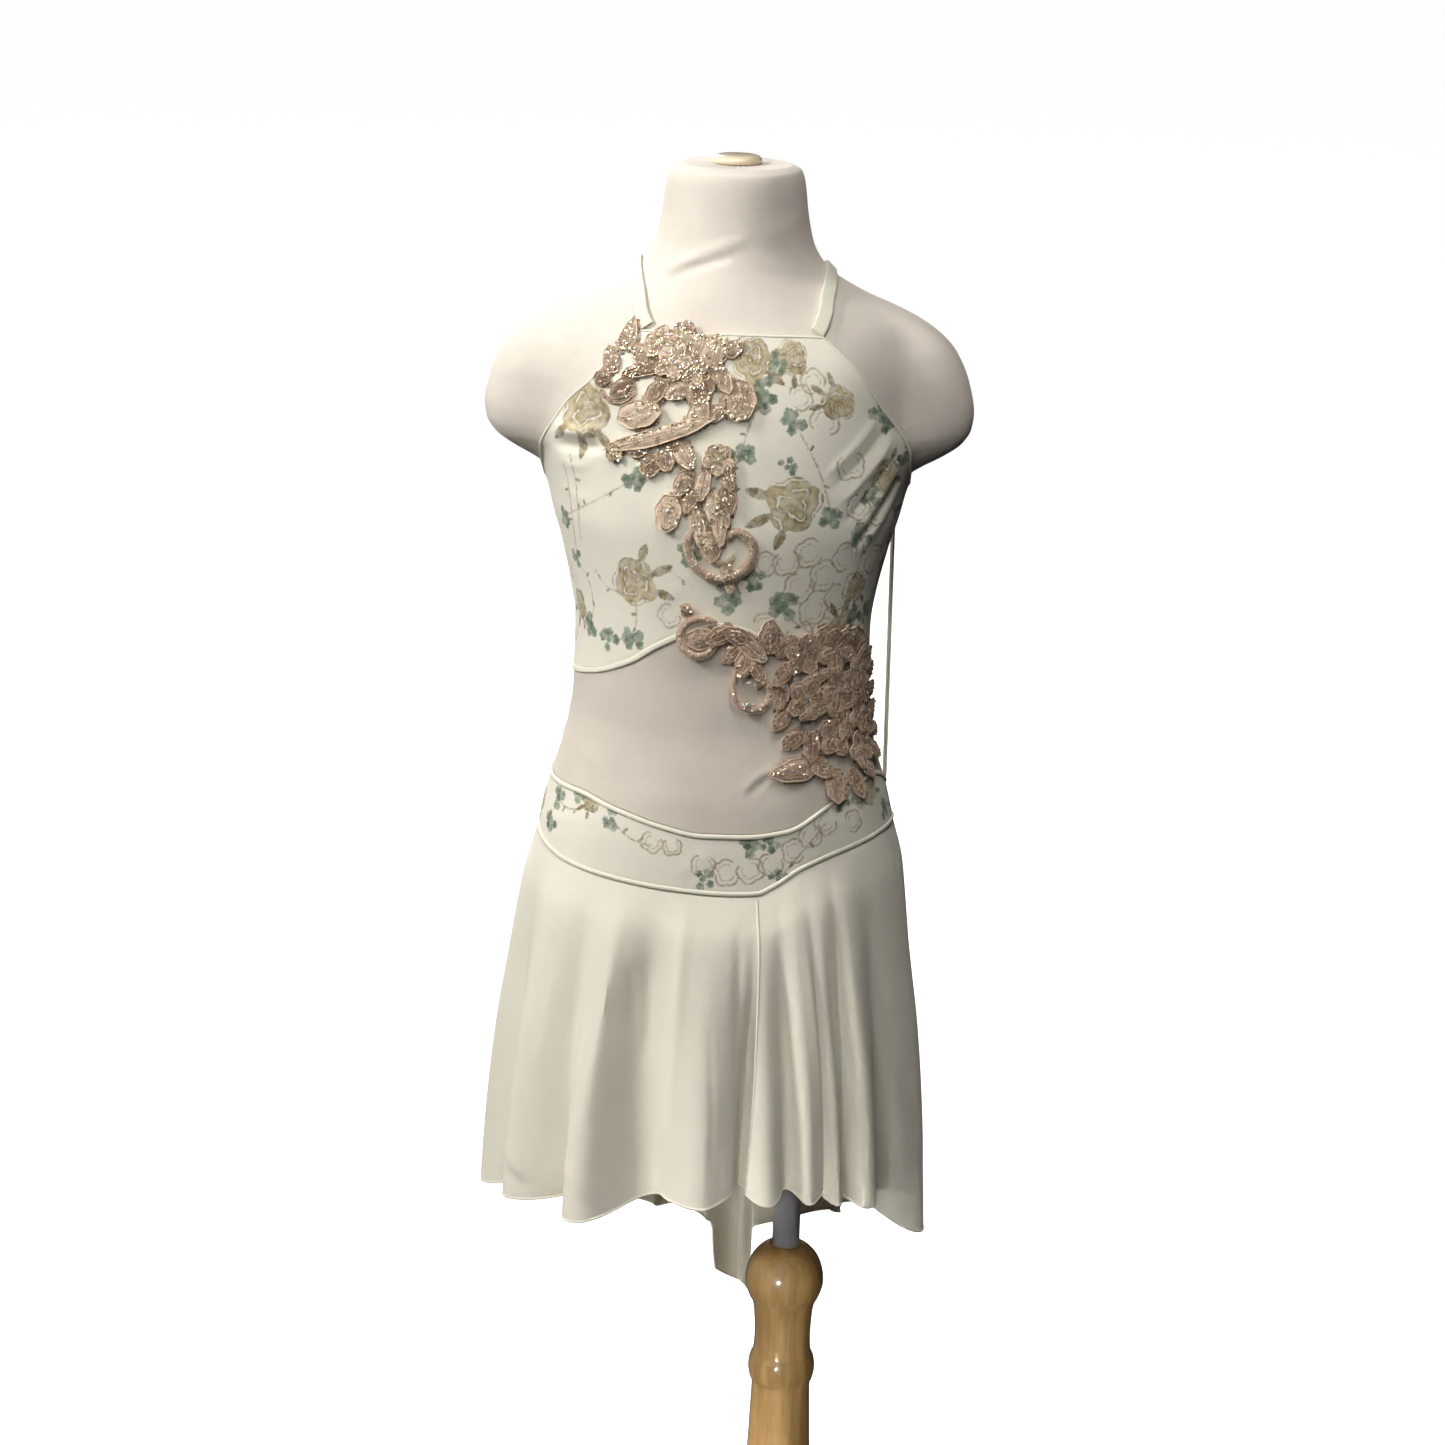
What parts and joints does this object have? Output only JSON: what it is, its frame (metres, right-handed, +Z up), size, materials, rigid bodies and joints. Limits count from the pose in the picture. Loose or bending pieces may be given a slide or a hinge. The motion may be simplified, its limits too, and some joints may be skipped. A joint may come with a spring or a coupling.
{
  "type": "lyrical dance dress on a limbless child dress form with stand",
  "caption": "Cream lyrical dance dress with floral bodice, nude mesh midriff, sequinned appliques and a high-low circle skirt, worn by a limbless form on a turned wooden stand",
  "frame": {"origin": "centre of the underside of the round base, on the stand's axis", "axes": "+Z up, the dress faces -Y, +X is the viewer's right; the form's own axis is at x = -0.060 m"},
  "size_m": [0.3776, 0.3007, 1.2062],
  "materials": {
    "varnished_wood": "honey varnish over turned hardwood",
    "chrome": "polished",
    "form_jersey": "matte stretch jersey cover",
    "print_lycra": "cream stretch knit with an olive and green flower print",
    "cream_binding": "cream stretch binding",
    "nude_mesh": "fine nude stretch mesh",
    "cream_jersey": "soft cream jersey with a rolled hem",
    "rose_applique": "corded rose-gold lace with sequins",
    "dark_applique": "corded rose-brown lace with sequins"
  },
  "bodies": {
    "root": {"base_disc": "varnished_wood", "stand_column": "varnished_wood", "pole": "chrome", "form_torso": "form_jersey", "neck_cap": "varnished_wood", "bodice_front": "print_lycra", "bodice_hem_band": "cream_binding", "midriff_mesh": "nude_mesh", "basque_top_piping": "cream_binding", "basque_front": "print_lycra", "basque_back": "print_lycra", "basque_bottom_piping": "cream_binding", "skirt_front_left": "cream_jersey", "skirt_front_right": "cream_jersey", "skirt_back": "cream_jersey", "shoulder_strap_left": "cream_binding", "shoulder_strap_right": "cream_binding", "side_strap_left": "cream_binding", "side_strap_right": "cream_binding", "applique_upper": "rose_applique", "applique_lower": "dark_applique"}
  },
  "joints": []
}
